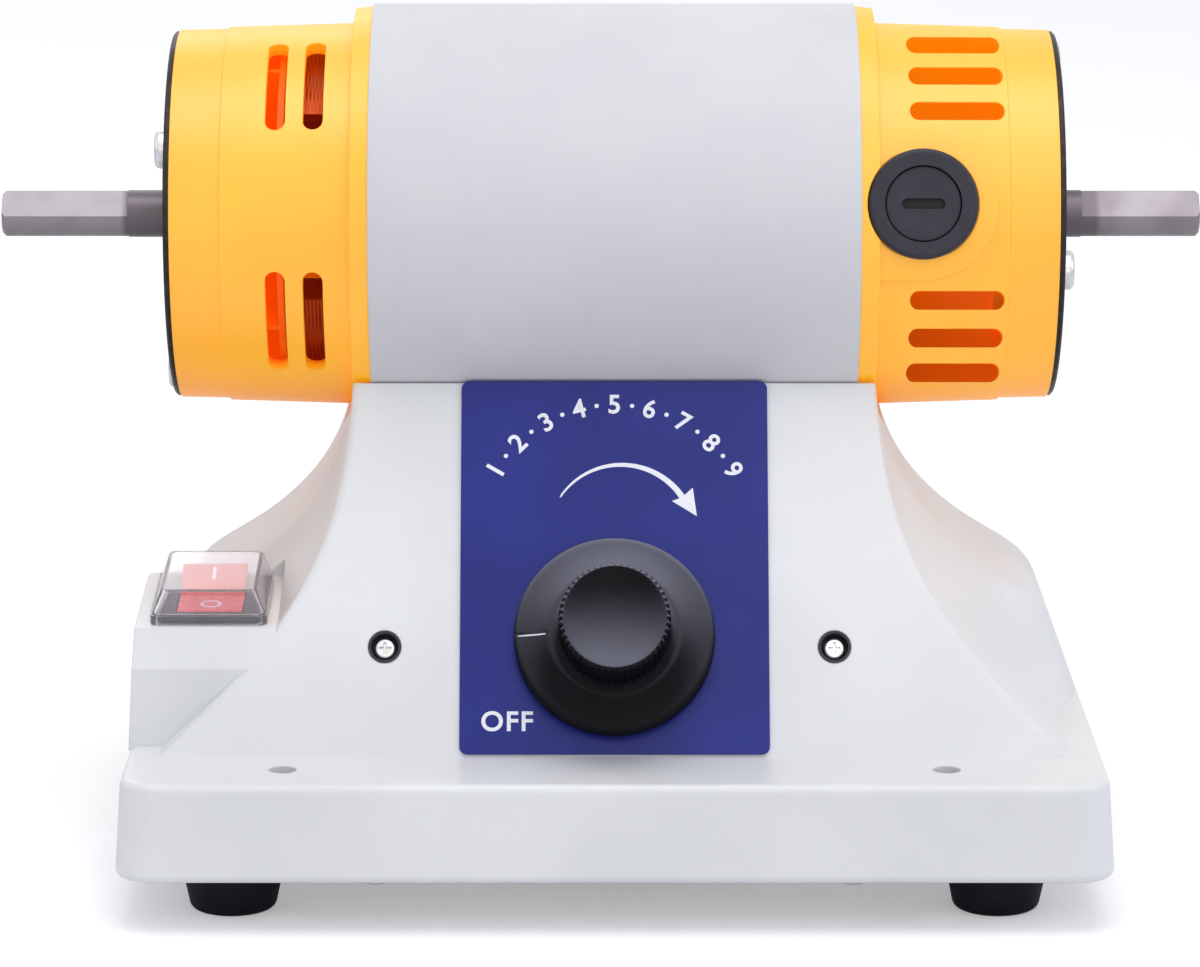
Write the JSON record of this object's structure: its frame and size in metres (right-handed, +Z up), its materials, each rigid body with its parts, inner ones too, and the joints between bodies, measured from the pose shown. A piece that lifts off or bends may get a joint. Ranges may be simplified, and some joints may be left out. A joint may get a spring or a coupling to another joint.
{
  "type": "dental polishing lathe",
  "caption": "Bench polishing lathe with a double-ended motor shaft, yellow end caps, white base, speed knob and covered rocker switch.",
  "frame": {"origin": "on the bench under the middle of the overall box, level with the underside of the rubber feet", "axes": "+X along the motor shaft towards the operator's right, +Y away from the operator, +Z up"},
  "size_m": [0.3062, 0.2028, 0.2128],
  "materials": {
    "white_shell": "satin moulded ABS, fine grain",
    "yellow_shell": "satin moulded nylon, yellow-orange",
    "sleeve_paint": "light grey powder coat",
    "dark_plate": "black phosphate steel",
    "zinc_steel": "bright zinc plate",
    "shaft_steel": "ground steel",
    "bearing_steel": "ground and polished",
    "core_steel": "stacked laminations",
    "copper_wire": "enamelled copper",
    "copper_bar": "turned copper",
    "black_moulding": "black bakelite",
    "knob_black": "satin black",
    "carbon": "pressed carbon",
    "foot_rubber": "soft black",
    "label_blue": "printed blue label with white marks",
    "rocker_red": "translucent red",
    "hood_clear": "clear soft cover",
    "board_green": "solder mask",
    "sink_aluminium": "extruded",
    "terminal_brass": "tinned brass",
    "fuse_glass": "clear",
    "fan_plastic": "black moulding",
    "capacitor_yellow": "boxed film capacitor"
  },
  "bodies": {
    "machine": {"base_housing": "white_shell", "left_end_cap": "yellow_shell", "right_end_cap": "yellow_shell", "motor_sleeve": "sleeve_paint", "left_end_plate": "dark_plate", "right_end_plate": "dark_plate", "bottom_plate": "zinc_steel", "bottom_screws": "zinc_steel", "foot_screws": "zinc_steel", "foot_nuts": "zinc_steel", "end_plate_screws": "zinc_steel", "cradle_bolts": "zinc_steel", "front_screws": "zinc_steel", "control_bracket": "zinc_steel", "pot_nut": "zinc_steel", "board_screws": "zinc_steel", "board_standoffs": "zinc_steel", "front_brush_spring": "zinc_steel", "rear_brush_spring": "zinc_steel", "bearing_outer_rings": "bearing_steel", "stator_core": "core_steel", "upper_field_coil": "copper_wire", "lower_field_coil": "copper_wire", "filter_choke": "copper_wire", "front_brush_holder": "black_moulding", "rear_brush_holder": "black_moulding", "front_brush_cap": "black_moulding", "rear_brush_cap": "black_moulding", "front_screw_cups": "black_moulding", "switch_body": "black_moulding", "cord_gland": "black_moulding", "gland_nut": "black_moulding", "fuse_holder": "black_moulding", "fuse_cap": "black_moulding", "power_triac": "black_moulding", "speed_pot": "black_moulding", "rubber_feet": "foot_rubber", "front_panel": "label_blue", "switch_hood": "hood_clear", "control_board": "board_green", "heat_sink": "sink_aluminium", "switch_terminals": "terminal_brass", "fuse": "fuse_glass", "supply_capacitor": "capacitor_yellow"},
    "rotor": {"motor_shaft": "shaft_steel", "armature_core": "core_steel", "armature_winding": "copper_wire", "commutator": "copper_bar", "commutator_hub": "black_moulding", "cooling_fan": "fan_plastic", "bearing_inner_rings": "bearing_steel", "bearing_balls": "bearing_steel", "bearing_circlips": "zinc_steel"},
    "knob": {"speed_knob": "knob_black", "knob_set_screw": "zinc_steel", "pot_shaft": "shaft_steel"},
    "rocker": {"switch_rocker": "rocker_red"},
    "front_brush_body": {"front_brush": "carbon"},
    "rear_brush_body": {"rear_brush": "carbon"}
  },
  "joints": [
    {"name": "rotor_spin", "type": "hinge", "parent": "machine", "child": "rotor", "pos_m": [0.0034, 0.0097, 0.1592], "axis": [1, 0, 0], "continuous": true},
    {"name": "knob_turn", "type": "hinge", "parent": "machine", "child": "knob", "pos_m": [0.0034, -0.05986, 0.06361], "axis": [0, 0.8949, -0.4462], "range_deg": [-38, 242]},
    {"name": "rocker_tilt", "type": "hinge", "parent": "machine", "child": "rocker", "pos_m": [-0.0972, -0.0393, 0.06641], "axis": [-1, 0, 0], "range_deg": [0, 20]},
    {"name": "front_brush_slide", "type": "slide", "parent": "machine", "child": "front_brush_body", "axis": [0, -0.9792, 0.2028], "range_m": [0, 0.0025], "stiffness_N_per_m": 300, "springref_m": -0.01, "deforming": ["front_brush_spring"]},
    {"name": "rear_brush_slide", "type": "slide", "parent": "machine", "child": "rear_brush_body", "axis": [0, 0.9792, -0.2028], "range_m": [0, 0.0025], "stiffness_N_per_m": 300, "springref_m": -0.01, "deforming": ["rear_brush_spring"]}
  ]
}
